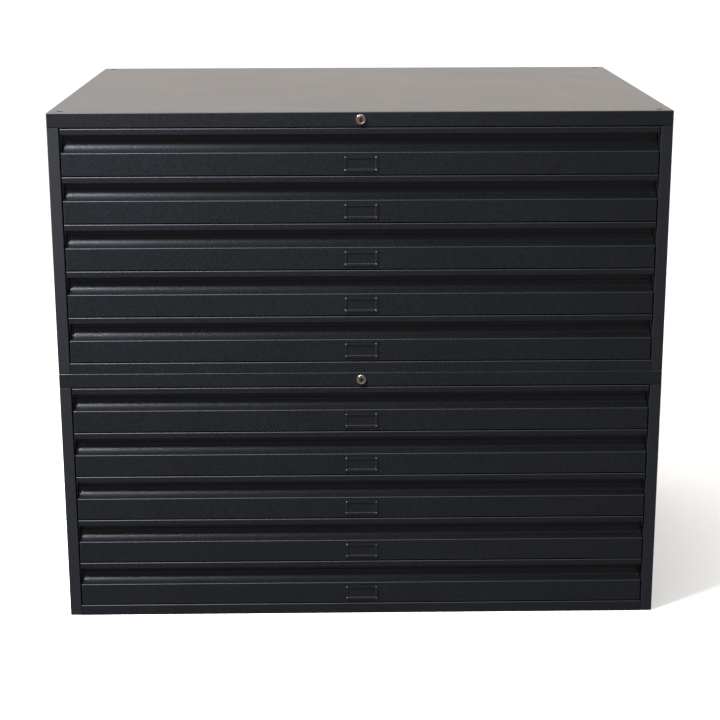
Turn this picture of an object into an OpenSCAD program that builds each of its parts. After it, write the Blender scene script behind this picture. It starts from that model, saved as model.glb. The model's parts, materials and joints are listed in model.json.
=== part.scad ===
// Two stacked steel plan chests, each with wide shallow drawers on ball slides and one central lock.
// Origin: middle of the footprint at floor level. +Z is up and the drawers open towards -Y.

/* [Cabinet] */
// Outside width of each cabinet
unit_w = 1000; // [800:10:1300]
// Depth of each cabinet's casing
unit_d = 740; // [600:10:900]
// Outside height of each cabinet
unit_h = 430; // [350:5:520]
// Drawers in each cabinet
drawer_count = 5; // [3:1:5]
// Thickness of the steel sheet
sheet_t = 1; // [0.8:0.1:1.2]

/* [Casing] */
// Width of the front column at each side
column_w = 19; // [18:0.5:24]
// How far the column's inner edge is folded back
column_return = 10; // [6:0.5:12]
// Height of the top panel's front fascia and skirts
fascia_h = 24; // [23:0.5:30]
// How far the fascia's lower edge is folded back
fascia_return = 12; // [8:0.5:14]
// Height of the rail under the lowest drawer
rail_h = 18; // [14:0.5:24]
// Width of the side panel's flange that stands on the floor
foot_flange = 38; // [32:1:50]
// Width of the side panel's rear flange
back_flange = 20; // [15:1:30]
// Open seam between neighbouring casing panels
seam = 0.5; // [0.3:0.1:0.8]

/* [Drawers] */
// Gap above and below each drawer front
front_gap = 1.5; // [1:0.1:2.5]
// Gap between a drawer front and the column
side_gap = 2; // [1.5:0.1:2.5]
// Depth of the finger recess
grip_depth = 20; // [19:0.5:24]
// Radius of the scoop in the finger recess
grip_r = 16; // [12:0.5:18]
// Distance from the top of a drawer front down to the recess's sharp edge
grip_drop = 39; // [34:0.5:42]
// Height of the lip over the finger recess
lip_h = 10; // [8:0.5:12]
// Width of the hem folded back under the lip
lip_hem = 5; // [3:0.5:6]
// Height of the tray's walls
tray_h = 52; // [46:0.5:53]
// Height of the tray's floor above the bottom of its front
tray_lift = 3; // [2:0.5:4]
// Space left between a closed tray and the back of the cabinet
tray_back_gap = 40; // [20:5:60]
// Width of the flange along the top of the tray's walls
tray_flange = 8; // [5:0.5:12]

/* [Label holders] */
// Width of a label holder
label_w = 55; // [45:1:80]
// Height of a label holder
label_h = 25.5; // [18:0.5:27]
// Width of a label holder's frame
label_border = 4.5; // [3.5:0.5:6]
// How far a label holder stands out
label_proud = 1.6; // [1.2:0.1:2]

/* [Slides] */
// Width of a three-part slide
slide_w = 12.7; // [12.5:0.1:14]
// Height of a three-part slide
slide_h = 35; // [32:0.5:36]
// How far a drawer opens
travel = 560; // [300:10:600]
// How much longer than its travel a closed slide is
slide_spare = 60; // [40:5:70]

/* [Lock] */
// Diameter of the lock's head
lock_head_d = 16; // [15:0.5:18]
// How far the lock's head stands out
lock_head_proud = 4; // [3:0.5:6]
// Diameter of the barrel behind the fascia
lock_body_d = 14; // [13:0.5:14.5]
// Diameter of the plug that the key turns
plug_d = 9; // [8:0.5:10]
// How far the locking bar slides
lock_throw = 8; // [7:0.5:8.5]

/* [Stacking] */
// Distance from each side to the stacking holes
inset_x = 19.5; // [18:0.5:24]
// Distance from front and back to the stacking holes
inset_y = 20; // [19.5:0.5:24]
// Thread diameter of the stacking bolts
bolt_d = 8; // [6:0.5:8]
// Diameter of the stacking holes under each cabinet
stack_hole_d = 10; // [9:0.5:11]

/* [Hidden] */
t = sheet_t;
half_w = unit_w / 2;
UNITS = ["upper", "lower"];

// The head of the lock is the foremost point, so the casing sits that much behind the middle.
front_y = -(unit_d - lock_head_proud) / 2;

running_gap = 0.05;   // radial clearance of a turning plug
close_gap = 0.05;     // radial clearance of a piece pressed or threaded into its hole
shim = 0.1;           // gap between a slide member and the tray or upright that it is bolted to

// Casing heights, from the bottom of a cabinet
side_top = unit_h - fascia_h - seam;
tab_lap = 10;
tab_bottom = side_top - tab_lap;
opening_hw = half_w - column_w;

// Drawers
drawer_pitch = (unit_h - fascia_h - front_gap - rail_h) / drawer_count;
front_h = drawer_pitch - front_gap;
front_hw = opening_hw - side_gap;
flat_h = front_h - grip_drop;
grip_land = grip_depth - grip_r - t;
scoop_leg = 1.5;
bottom_return = 15;
tray_hw = opening_hw - slide_w - shim;
tray_end = unit_d - tray_back_gap;
tray_top = tray_lift + tray_h;

// Stacking
insert_d = 12;
insert_len = 10;
collar_d = 15;
collar_t = 3;
bolt_flange_d = 17;
bolt_flange_t = 1.5;
bolt_head_across = 13;
bolt_head_h = 5;
bolt_clear = 1;       // gap between a bolt's flange and the nearest upright
bolt_past = 1;        // how far a bolt's tip passes the insert

// Slides
slide_t = 1.2;        // sheet of the slide members
slide_step = 3;       // step in height from one member to the next one inside it
slide_len = travel + slide_spare;
slide_y = max(grip_depth + 10, inset_y + bolt_flange_d / 2 + bolt_clear);
slide_z = tray_top - slide_h - 6;
middle_short = 10;    // how much shorter the middle member is at each end
cup_w = slide_w * 0.75;
upright_w = 40;
upright_top = tab_bottom - seam;

// Lock
lock_z = unit_h - fascia_h / 2;
lock_body_len = 20;
nut_across = 18;
nut_t = 4;
cam_gap = 1;
cam_t = 2;
cam_r = lock_head_d / 2;
pin_d = 4;
pin_circle_r = lock_throw / sqrt(2);
pin_len = 5;
pin_play = 0.6;
bar_t = 2;
bar_h = 11;
bar_y = lock_body_len + cam_gap + cam_t + 1.5;
bar_top = lock_z;
strip_gap = 1;        // gap from the bar's upright strip to a locked drawer's front and to the side
strip_x = front_hw + lock_throw + strip_gap;
strip_w = half_w - 2 * t - strip_gap - strip_x;
strip_y = grip_depth - 4;
tongue_tip = opening_hw + 1.5;
tongue_z = tray_lift + 1;
tongue_h = 8;
notch_play = 1.5;
guide_w = 12;
guide_gap = 0.5;
guide_places = [0.3, 0.8];   // shares of the half width

$fn = 48;

PAINT = [0.17, 0.18, 0.20];
FRONT_PAINT = [0.19, 0.20, 0.22];
ZINC = [0.72, 0.73, 0.74];
NICKEL = [0.80, 0.78, 0.73];
GALVANISED = [0.60, 0.62, 0.64];

UNIT_PARTS = ["top_panel", "left_side", "right_side", "back_panel", "base_panel", "slide_rails",
              "lock_barrel", "lock_plug", "lock_bar"];
DRAWER_PARTS = ["front", "tray", "label_holder", "slides"];

function unit_z(unit) = unit == "upper" ? unit_h : 0;
// Bottom of a drawer's front, from the bottom of its cabinet; drawer 1 is the top one.
function drawer_z(i) = rail_h + front_gap + (drawer_count - i) * drawer_pitch;

// ---------- helpers ----------

// A block between two corners. Y runs back from the front face of the cabinet.
module block(low, high) {
    translate(low)
        cube(high - low);
}

// The same thing at the left and at the right.
module both_sides() {
    children();
    mirror([1, 0, 0])
        children();
}

module in_unit(unit) {
    translate([0, front_y, unit_z(unit)])
        children();
}

module in_drawer(unit, i) {
    translate([0, front_y, unit_z(unit) + drawer_z(i)])
        children();
}

module at_stack_points() {
    for (x = [-half_w + inset_x, half_w - inset_x])
        for (y = [inset_y, unit_d - inset_y])
            translate([x, y, 0])
                children();
}

// A cylinder that runs straight back from the front face.
module rod_back(d, y_start, y_end, sides = $fn) {
    translate([0, y_start, 0])
        rotate([-90, 0, 0])
            cylinder(d = d, h = y_end - y_start, $fn = sides);
}

// ---------- casing ----------

module bar_guide(x) {
    low_z = bar_top - bar_h - guide_gap;
    y_front = bar_y - guide_gap;
    y_back = bar_y + bar_t + guide_gap;
    block([x, y_front - t, low_z - t], [x + guide_w, y_front, unit_h - t]);
    block([x, y_back, low_z - t], [x + guide_w, y_back + t, unit_h - t]);
    block([x, y_front - t, low_z - t], [x + guide_w, y_back + t, low_z]);
}

module top_panel() {
    skirt_z = unit_h - fascia_h;
    color(PAINT)
    difference() {
        union() {
            block([-half_w, 0, unit_h - t], [half_w, unit_d, unit_h]);
            block([-half_w, 0, skirt_z], [half_w, t, unit_h]);
            block([-half_w, 0, skirt_z], [half_w, fascia_return, skirt_z + t]);
            block([-half_w, unit_d - t, skirt_z], [half_w, unit_d, unit_h]);
            both_sides()
                block([half_w - t, 0, skirt_z], [half_w, unit_d, unit_h]);
            for (share = guide_places)
                bar_guide(share * half_w);
        }
        at_stack_points()
            translate([0, 0, unit_h - 2 * t])
                cylinder(d = insert_d + 2 * close_gap, h = 3 * t);
        translate([0, 0, lock_z])
            rod_back(lock_body_d + 2 * close_gap, -t, 2 * t);
    }
}

// Right side: skin, front column, floor flange, rear flange and the tab that laps inside the top panel.
module side_panel() {
    color(PAINT)
    difference() {
        union() {
            block([half_w - t, 0, 0], [half_w, unit_d, side_top]);
            block([opening_hw, 0, 0], [half_w, t, side_top]);
            block([opening_hw, 0, 0], [opening_hw + t, column_return, side_top]);
            block([half_w - foot_flange, t, 0], [half_w, unit_d, t]);
            block([half_w - back_flange, unit_d - t, 0], [half_w, unit_d, side_top]);
            block([half_w - 2 * t, fascia_return + seam, tab_bottom],
                  [half_w - t, unit_d - 2 * t, unit_h - t]);
        }
        at_stack_points()
            translate([0, 0, -t])
                cylinder(d = stack_hole_d, h = 3 * t);
    }
}

module back_panel() {
    edge = half_w - 2 * t - seam;
    color(PAINT)
        block([-edge, unit_d - 2 * t, t], [edge, unit_d - t, unit_h - t]);
}

// Floor sheet of the cabinet with the folded rail along its front edge.
module base_panel() {
    rail_hw = opening_hw - seam;
    sheet_hw = half_w - t - seam;
    color(PAINT)
    difference() {
        union() {
            block([-rail_hw, 0, 0], [rail_hw, t, rail_h]);
            block([-rail_hw, 0, rail_h - t], [rail_hw, column_return, rail_h]);
            block([-rail_hw, column_return - t, rail_h / 2], [rail_hw, column_return, rail_h]);
            block([-rail_hw, 0, t], [rail_hw, column_return + seam, 2 * t]);
            block([-sheet_hw, column_return + seam, t], [sheet_hw, unit_d - 2 * t, 2 * t]);
        }
        at_stack_points()
            cylinder(d = stack_hole_d, h = 3 * t);
    }
}

// ---------- slides ----------

// A channel of a slide at the right. Its web faces the cabinet when web_out is true.
module channel(x_low, x_high, z_low, z_high, y_low, y_high, web_out) {
    web_x = web_out ? x_high - slide_t : x_low;
    block([web_x, y_low, z_low], [web_x + slide_t, y_high, z_high]);
    block([x_low, y_low, z_low], [x_high, y_high, z_low + slide_t]);
    block([x_low, y_low, z_high - slide_t], [x_high, y_high, z_high]);
}

module cabinet_member() {
    channel(opening_hw - cup_w, opening_hw, slide_z, slide_z + slide_h, slide_y, slide_y + slide_len, true);
}

module middle_member() {
    channel(opening_hw - slide_w + 1.5, opening_hw - slide_w * 0.35,
            slide_z + slide_step, slide_z + slide_h - slide_step,
            slide_y + middle_short, slide_y + slide_len - middle_short, true);
}

module drawer_member() {
    channel(opening_hw - slide_w, opening_hw - slide_w * 0.6,
            slide_z + 2 * slide_step, slide_z + slide_h - 2 * slide_step,
            slide_y, slide_y + slide_len, false);
}

// Channel-shaped post that carries the cabinet members of all the slides.
module upright(y) {
    web_x = opening_hw + shim;
    block([web_x, y, 2 * t], [web_x + t, y + upright_w, upright_top]);
    block([web_x, y, 2 * t], [half_w - t, y + t, upright_top]);
    block([web_x, y + upright_w - t, 2 * t], [half_w - t, y + upright_w, upright_top]);
}

module slide_rails() {
    color(ZINC)
    both_sides() {
        upright(slide_y);
        upright(slide_y + slide_len - upright_w);
        for (i = [1 : drawer_count])
            translate([0, 0, drawer_z(i)])
                cabinet_member();
    }
}

module drawer_slides() {
    color(ZINC)
    both_sides()
        middle_member();
}

// ---------- drawers ----------

// Flat face, sharp fold and scooped finger recess, made from one sheet.
module drawer_front() {
    color(FRONT_PAINT) {
        block([-front_hw, 0, 0], [front_hw, t, flat_h]);
        block([-front_hw, 0, 0], [front_hw, bottom_return, t]);
        block([-front_hw, 0, flat_h - t], [front_hw, grip_land, flat_h]);
        scoop();
        block([-front_hw, grip_depth - t, flat_h + grip_r], [front_hw, grip_depth, flat_h + grip_r + scoop_leg]);
        side_return();
        mirror([1, 0, 0])
            block([front_hw - t, 0, 0], [front_hw, grip_depth, flat_h]);
    }
}

module scoop() {
    translate([-front_hw, grip_land, flat_h + grip_r])
        rotate([90, 0, 90])
            linear_extrude(2 * front_hw)
                intersection() {
                    difference() {
                        circle(r = grip_r + t);
                        circle(r = grip_r);
                    }
                    translate([0, -grip_r - t])
                        square(grip_r + t);
                }
}

// The right-hand return has a notch that the locking bar's tongue enters.
module side_return() {
    difference() {
        block([front_hw - t, 0, 0], [front_hw, grip_depth, flat_h]);
        block([front_hw - 2 * t, strip_y - notch_play, tongue_z - notch_play],
              [front_hw + t, grip_depth + t, tongue_z + tongue_h + notch_play]);
    }
}

// Folded tray whose front wall carries on up, over the finger recess and down to the lip.
module drawer_tray() {
    color(PAINT) {
        block([-tray_hw, grip_depth, tray_lift], [tray_hw, tray_end, tray_lift + t]);
        both_sides() {
            block([tray_hw - t, grip_depth, tray_lift], [tray_hw, tray_end, tray_top]);
            block([tray_hw - tray_flange, grip_depth, tray_top - t], [tray_hw, tray_end, tray_top]);
        }
        block([-tray_hw, tray_end - t, tray_lift], [tray_hw, tray_end, tray_top]);
        block([-tray_hw, tray_end - tray_flange, tray_top - t], [tray_hw, tray_end, tray_top]);
        block([-front_hw, grip_depth, tray_lift], [front_hw, grip_depth + t, front_h]);
        block([-front_hw, 0, front_h - t], [front_hw, grip_depth + t, front_h]);
        block([-front_hw, 0, front_h - lip_h], [front_hw, t, front_h]);
        block([-front_hw, 0, front_h - lip_h], [front_hw, lip_hem, front_h - lip_h + t]);
    }
    color(ZINC)
    both_sides()
        drawer_member();
}

// Thin folded frame with a window, a pocket for the card behind it and four rivets.
module label_holder() {
    low = (flat_h - label_h) / 2;
    frame_t = label_proud / 2;
    rivet_d = 3;
    rivet_inset = 2.6;
    rivet_h = 0.5;
    color(FRONT_PAINT) {
        difference() {
            block([-label_w / 2, -label_proud, low], [label_w / 2, 0, low + label_h]);
            block([label_border - label_w / 2, -2 * label_proud, low + label_border],
                  [label_w / 2 - label_border, label_proud, low + label_h - label_border]);
            block([label_border / 2 - label_w / 2, -frame_t, low + label_border / 2],
                  [label_w / 2 - label_border / 2, label_proud, low + label_h + t]);
        }
        for (x = [rivet_inset - label_w / 2, label_w / 2 - rivet_inset])
            for (z = [low + rivet_inset, low + label_h - rivet_inset])
                translate([x, 0, z])
                    rod_back(rivet_d, -label_proud - rivet_h, -label_proud);
    }
}

// ---------- lock ----------

// Headed barrel, held behind the fascia by a hexagonal nut.
module lock_barrel() {
    color(NICKEL)
    translate([0, 0, lock_z]) {
        difference() {
            union() {
                rod_back(lock_head_d, -lock_head_proud, 0);
                rod_back(lock_body_d, 0, lock_body_len);
            }
            rod_back(plug_d + 2 * running_gap, -2 * lock_head_proud, lock_body_len + t);
        }
        difference() {
            rod_back(nut_across / cos(30), t, t + nut_t, 6);
            rod_back(lock_body_d + 2 * close_gap, 0, nut_t + 2 * t);
        }
    }
}

// Plug with its keyway, and the cam disc and pin behind the barrel that drive the locking bar.
module lock_plug() {
    face_y = 0.4 - lock_head_proud;
    cam_y = lock_body_len + cam_gap;
    key_w = 1.6;
    key_h = 6;
    key_depth = 12;
    color(NICKEL)
    translate([0, 0, lock_z]) {
        difference() {
            rod_back(plug_d, face_y, cam_y);
            block([-key_w / 2, face_y - 1, -key_h / 2], [key_w / 2, face_y + key_depth, key_h / 2]);
        }
        rod_back(2 * cam_r, cam_y, cam_y + cam_t);
        translate([lock_throw / 2, 0, -lock_throw / 2])
            rod_back(pin_d, cam_y + cam_t, cam_y + cam_t + pin_len);
    }
}

// One bar: a strip under the top panel to the right-hand column, then down it with a tongue per drawer.
module lock_bar() {
    strip_bottom = drawer_z(drawer_count) + tongue_z - 2;
    bar_bottom = bar_top - bar_h;
    slot_hw = pin_d / 2 + pin_play;
    pin_x = lock_throw / 2;
    slot_bottom = lock_z - pin_circle_r - pin_d / 2 - pin_play;
    end_w = 6;
    color(GALVANISED)
    difference() {
        union() {
            block([pin_x - slot_hw - end_w, bar_y, bar_bottom], [strip_x + strip_w, bar_y + bar_t, bar_top]);
            block([strip_x, strip_y, bar_bottom], [strip_x + strip_w, bar_y + bar_t, bar_bottom + bar_t]);
            block([strip_x, strip_y, strip_bottom], [strip_x + strip_w, strip_y + bar_t, bar_bottom + bar_t]);
            for (i = [1 : drawer_count])
                translate([0, 0, drawer_z(i)])
                    block([tongue_tip, strip_y, tongue_z], [strip_x + t, strip_y + bar_t, tongue_z + tongue_h]);
        }
        block([pin_x - slot_hw, bar_y - bar_t, slot_bottom], [pin_x + slot_hw, bar_y + 2 * bar_t, bar_top + t]);
    }
}

// ---------- stacking hardware ----------

module threaded_inserts() {
    color(ZINC)
    for (unit = UNITS)
        in_unit(unit)
            at_stack_points()
                translate([0, 0, unit_h])
                    insert();
}

module insert() {
    difference() {
        union() {
            translate([0, 0, -insert_len])
                cylinder(d = insert_d, h = insert_len);
            translate([0, 0, -t - collar_t])
                cylinder(d = collar_d, h = collar_t);
        }
        translate([0, 0, -2 * insert_len])
            cylinder(d = bolt_d + 2 * close_gap, h = 3 * insert_len);
    }
}

module stacking_bolts() {
    floor_z = unit_h + 2 * t;
    tip_z = unit_h - insert_len - bolt_past;
    color(ZINC)
    translate([0, front_y, 0])
    at_stack_points() {
        translate([0, 0, tip_z])
            cylinder(d = bolt_d, h = floor_z - tip_z);
        translate([0, 0, floor_z])
            cylinder(d = bolt_flange_d, h = bolt_flange_t);
        translate([0, 0, floor_z])
            cylinder(d = bolt_head_across / cos(30), h = bolt_flange_t + bolt_head_h, $fn = 6);
    }
}

// ---------- every node ----------

for (unit = UNITS) {
    in_unit(unit) {
        top_panel();
        mirror([1, 0, 0]) side_panel();
        side_panel();
        back_panel();
        base_panel();
        slide_rails();
        lock_barrel();
        lock_plug();
        lock_bar();
    }
    for (i = [1 : drawer_count])
        in_drawer(unit, i) {
            drawer_front();
            drawer_tray();
            label_holder();
            drawer_slides();
        }
}
threaded_inserts();
stacking_bolts();
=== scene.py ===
"""Shaded model of two stacked steel plan chests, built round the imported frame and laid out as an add-on."""

import json
import math

import bmesh
import bpy
from bpy.props import FloatProperty, FloatVectorProperty, PointerProperty
from mathutils import Matrix, Vector


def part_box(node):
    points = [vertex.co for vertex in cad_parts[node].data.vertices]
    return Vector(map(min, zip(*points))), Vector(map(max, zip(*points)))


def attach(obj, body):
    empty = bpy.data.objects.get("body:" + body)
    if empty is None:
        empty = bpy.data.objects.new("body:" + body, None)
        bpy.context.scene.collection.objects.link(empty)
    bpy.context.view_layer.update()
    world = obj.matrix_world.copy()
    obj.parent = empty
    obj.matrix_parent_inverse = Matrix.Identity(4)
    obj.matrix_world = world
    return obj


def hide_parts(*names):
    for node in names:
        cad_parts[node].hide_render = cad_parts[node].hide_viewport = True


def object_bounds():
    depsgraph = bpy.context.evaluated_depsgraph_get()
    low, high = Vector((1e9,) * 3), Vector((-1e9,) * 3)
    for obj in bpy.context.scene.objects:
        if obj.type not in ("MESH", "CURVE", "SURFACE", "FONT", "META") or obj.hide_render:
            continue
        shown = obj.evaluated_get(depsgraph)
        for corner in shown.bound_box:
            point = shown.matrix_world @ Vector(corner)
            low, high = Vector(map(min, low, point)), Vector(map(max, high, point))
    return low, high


bl_info = {
    "name": "Stacked Plan Chests",
    "version": (1, 0, 0),
    "blender": (4, 5, 0),
    "location": "View3D > Sidebar > Plan Chests",
    "description": "Folded-steel looks for two stacked plan chests, built round their packed frame",
    "category": "Object",
}

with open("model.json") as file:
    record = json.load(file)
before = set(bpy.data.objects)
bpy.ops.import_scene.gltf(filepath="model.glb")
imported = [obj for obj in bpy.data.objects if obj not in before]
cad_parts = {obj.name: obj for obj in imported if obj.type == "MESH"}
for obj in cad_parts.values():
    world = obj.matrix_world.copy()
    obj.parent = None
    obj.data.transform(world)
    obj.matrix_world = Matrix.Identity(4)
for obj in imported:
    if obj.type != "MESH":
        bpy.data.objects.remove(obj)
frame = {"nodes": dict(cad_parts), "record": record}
CAD_LOW, CAD_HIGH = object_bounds()

MM = 0.001
NEAR = 1e-6   # metres within which two places count as one
WELD = 1e-7   # metres within which corners are merged
# a bend under this radius is also painted lighter, partly as a painted highlight along the bend
GENTLE = 5 * MM   # a bend of this radius or more doesn't thin the coat
SHIM = 0.1 * MM   # gap between a slide and the tray or upright that it is bolted to
SLIDE_STEP = 3 * MM   # step in height from one slide member to the next one inside it
COLLAR = 7.5 * MM   # radius of a threaded insert's collar
UNITS = ("upper", "lower")
DRAWERS = [n[:-len("_front")] for n in sorted(frame["nodes"]) if n.endswith("_front")]
NODE_BODY = {n: b for b, nodes in frame["record"]["behaviour"]["bodies"].items() for n in nodes}
NODE_SLOT = {s["node"]: s["material_slot"] for s in frame["record"]["subparts"]}

# Driving places that every piece shares, read off the frame.
FRONT_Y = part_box("lower_right_side")[0].y
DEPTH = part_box("lower_right_side")[1].y - FRONT_Y
HALF_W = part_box("lower_top_panel")[1].x
UNIT_Z = {u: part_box(f"{u}_right_side")[0].z for u in UNITS}
UNIT_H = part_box("lower_top_panel")[1].z - UNIT_Z["lower"]
DRAWER_Z = {d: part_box(f"{d}_front")[0].z for d in DRAWERS}
FRONT_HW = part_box(f"{DRAWERS[0]}_front")[1].x
GRIP_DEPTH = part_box(f"{DRAWERS[0]}_front")[1].y - FRONT_Y
TRAY_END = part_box(f"{DRAWERS[0]}_tray")[1].y - FRONT_Y
TRAY_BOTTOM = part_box(f"{DRAWERS[0]}_tray")[0].z - DRAWER_Z[DRAWERS[0]]
FRONT_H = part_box(f"{DRAWERS[0]}_tray")[1].z - DRAWER_Z[DRAWERS[0]]
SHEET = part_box("lower_back_panel")[1].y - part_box("lower_back_panel")[0].y


def srgb(code):
    """Linear red, green, blue and alpha of an sRGB hex value."""
    shares = [int(code[i:i + 2], 16) / 255 for i in (1, 3, 5)]
    return tuple(c / 12.92 if c <= 0.04045 else ((c + 0.055) / 1.055) ** 2.4 for c in shares) + (1.0,)


def length(name, description, millimetres):
    """A length that the user may change, given in millimetres and kept in metres."""
    return FloatProperty(name=name, description=description, default=millimetres * MM, min=0.0,
                         precision=5, unit="LENGTH")


def colour(name, description, code):
    """A colour that the user may change."""
    return FloatVectorProperty(name=name, description=description, default=srgb(code), size=4,
                               min=0.0, max=1.0, subtype="COLOR")


class PlanChestSizes(bpy.types.PropertyGroup):
    """Sizes of the folded sheet that the frame's boxes don't give."""

    fold_radius: length("Fold radius", "Outside radius of an ordinary fold", 1.4)
    sharp_radius: length("Sharp fold radius", "Outside radius of the fold over a drawer's flat face", 1.1)
    edge_round: length("Edge rounding", "How far the coat rounds a cut edge", 0.22)
    relief: length("Corner relief", "Gap left where two flanges would meet", 3.0)
    seam: length("Seam", "Open seam between neighbouring panels", 0.5)
    fascia_h: length("Fascia height", "Height of the top panel's front and skirts", 24.0)
    fascia_return: length("Fascia return", "Fold along the fascia's lower edge", 12.0)
    column_return: length("Column return", "How far a column's inner edge is folded back", 10.0)
    foot_flange: length("Foot flange", "Width of the flange that stands on the floor", 38.0)
    back_flange: length("Back flange", "Width of the side panel's rear flange", 20.0)
    side_gap: length("Side gap", "Gap between a drawer front and the column", 2.0)
    rail_h: length("Rail height", "Height of the rail under the lowest drawer", 18.0)
    flat_h: length("Flat face height", "Height of a drawer's flat face", 36.8)
    grip_radius: length("Scoop radius", "Radius of the scoop in the finger recess", 16.0)
    bottom_return: length("Bottom return", "Fold along the bottom of a drawer's face", 15.0)
    lip_h: length("Lip height", "Height of the lip over the finger recess", 10.0)
    lip_hem: length("Lip hem", "Hem folded back under the lip", 5.0)
    tray_wall: length("Tray wall", "Height of the tray's walls", 52.0)
    tray_flange: length("Tray flange", "Flange along the top of the tray's walls", 8.0)
    label_w: length("Label holder width", "Width of a label holder", 55.0)
    label_h: length("Label holder height", "Height of a label holder", 25.5)
    label_border: length("Label holder border", "Width of a label holder's frame", 4.5)
    label_proud: length("Label holder depth", "How far a label holder stands out", 1.6)
    slide_w: length("Slide width", "Width of a three-part slide", 12.7)
    slide_sheet: length("Slide sheet", "Sheet that the slides are rolled from", 1.2)
    lock_bore: length("Lock bore", "Radius of the hole in the fascia for the lock", 7.05)
    insert_bore: length("Insert bore", "Radius of the hole in the top for an insert", 6.05)
    stack_bore: length("Stacking hole", "Radius of the stacking holes in the floor", 5.0)
    weld_radius: length("Weld radius", "Radius of the mark that a spot weld leaves", 3.0)
    weld_depth: length("Weld depth", "Depth of the mark that a spot weld leaves", 0.25)


class PlanChestFinishes(bpy.types.PropertyGroup):
    """Colours of the finishes."""

    casing: colour("Casing coat", "Powder coat of the casing", "#131417")
    drawer: colour("Drawer coat", "Powder coat of the drawers", "#121316")
    holder: colour("Holder coat", "Powder coat of the label holders", "#151619")
    nickel: colour("Nickel", "Nickel plate of the locks", "#c9bfb2")
    plug: colour("Plug", "Worn nickel plate of the turning plugs", "#8c745c")
    insert: colour("Insert", "Blackened plate of the threaded inserts", "#2a2b2c")
    rivet: colour("Rivet", "Dull zinc plate of the label holders' rivets", "#777b7f")
    zinc: colour("Zinc", "Bright zinc plate of the slides and fasteners", "#b9bec2")
    galvanised: colour("Galvanised", "Hot-dip zinc of the locking bars", "#a9adb0")
    floor: colour("Floor", "Painted studio floor", "#fbfbfa")


class PlanChestStudio(bpy.types.PropertyGroup):
    """Camera and lights."""

    camera_side: FloatProperty(name="Camera side", description="Camera's place along X", default=-0.045,
                               unit="LENGTH")
    camera_back: FloatProperty(name="Camera distance", description="Camera's distance before the front face",
                               default=2.703, min=0.5, unit="LENGTH")
    camera_up: FloatProperty(name="Camera height", description="Camera's height over the floor",
                             default=1.1835, min=0.0, unit="LENGTH")
    camera_pitch: FloatProperty(name="Camera pitch", description="How far the camera looks down",
                                default=math.radians(15.16), subtype="ANGLE")
    camera_yaw: FloatProperty(name="Camera yaw", description="How far the camera looks to the right",
                              default=math.radians(0.91), subtype="ANGLE")
    camera_roll: FloatProperty(name="Camera roll", description="How far the camera leans to the right",
                               default=math.radians(0.13), subtype="ANGLE")
    lens: FloatProperty(name="Lens", description="Focal length on a 36 mm sensor, in millimetres",
                        default=84.7, min=10.0)
    key_power: FloatProperty(name="Key power", description="Power of the high softbox at the left",
                             default=66.0, min=0.0, unit="POWER")
    key_side: FloatProperty(name="Key side", description="Softbox's place along X", default=-1.1,
                            unit="LENGTH")
    key_ahead: FloatProperty(name="Key distance", description="Softbox's distance before the front face",
                             default=0.95, unit="LENGTH")
    key_up: FloatProperty(name="Key height", description="Softbox's height over the floor", default=2.2,
                          unit="LENGTH")
    key_spread: FloatProperty(name="Key spread", description="Angle that the softbox's grid lets through",
                              default=math.radians(110), subtype="ANGLE")
    key_width: FloatProperty(name="Key width", description="Softbox's width", default=0.5, min=0.0,
                             unit="LENGTH")
    key_length: FloatProperty(name="Key length", description="Softbox's length", default=1.0, min=0.0,
                              unit="LENGTH")
    key_tint: colour("Key tint", "Colour of the softbox", "#f0f4ff")
    front_tint: colour("Front tint", "Colour of the dim light from in front", "#7c7d80")
    back_level: FloatProperty(name="Back light", description="Brightness of the light from behind",
                              default=1.16, min=0.0)
    top_level: FloatProperty(name="Top light", description="Brightness of the light from overhead",
                             default=2.3, min=0.0)
    floor_size: FloatProperty(name="Floor size", description="Width of the floor", default=40.0, min=5.0,
                              unit="LENGTH")


# ---------- materials ----------

def add_node(tree, kind, settings=None, **sockets):
    """Adds a shader node. A socket takes a number or colour, or a (node, output) pair to link from."""
    node = tree.nodes.new(kind)
    for name, value in (settings or {}).items():
        setattr(node, name, value)
    for name, value in sockets.items():
        socket = node.inputs[int(name[1:])] if name[0] == "i" and name[1:].isdigit() else node.inputs[name]
        if isinstance(value, tuple) and isinstance(value[0], bpy.types.Node):
            tree.links.new(value[0].outputs[value[1]], socket)
        else:
            socket.default_value = value
    return node


def period(millimetres):
    """Scale of a texture on object coordinates whose features repeat about every so many millimetres."""
    return 1 / (millimetres * MM)


def ramp(tree, source, stops):
    """A colour ramp through (place, grey level or colour) stops."""
    node = add_node(tree, "ShaderNodeValToRGB", Fac=source)
    elements = node.color_ramp.elements
    while len(elements) < len(stops):
        elements.new(0.5)
    for element, (place, level) in zip(elements, stops):
        element.position = place
        element.color = level if isinstance(level, tuple) else (level, level, level, 1.0)
    return node


def new_material(name):
    """An empty material with its tree, its coordinates and its shader."""
    material = bpy.data.materials.new(name)
    material.use_nodes = True
    tree = material.node_tree
    tree.nodes.clear()
    shader = add_node(tree, "ShaderNodeBsdfPrincipled")
    add_node(tree, "ShaderNodeOutputMaterial", Surface=(shader, "BSDF"))
    place = add_node(tree, "ShaderNodeTexCoord")
    return material, tree, shader, place


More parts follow.
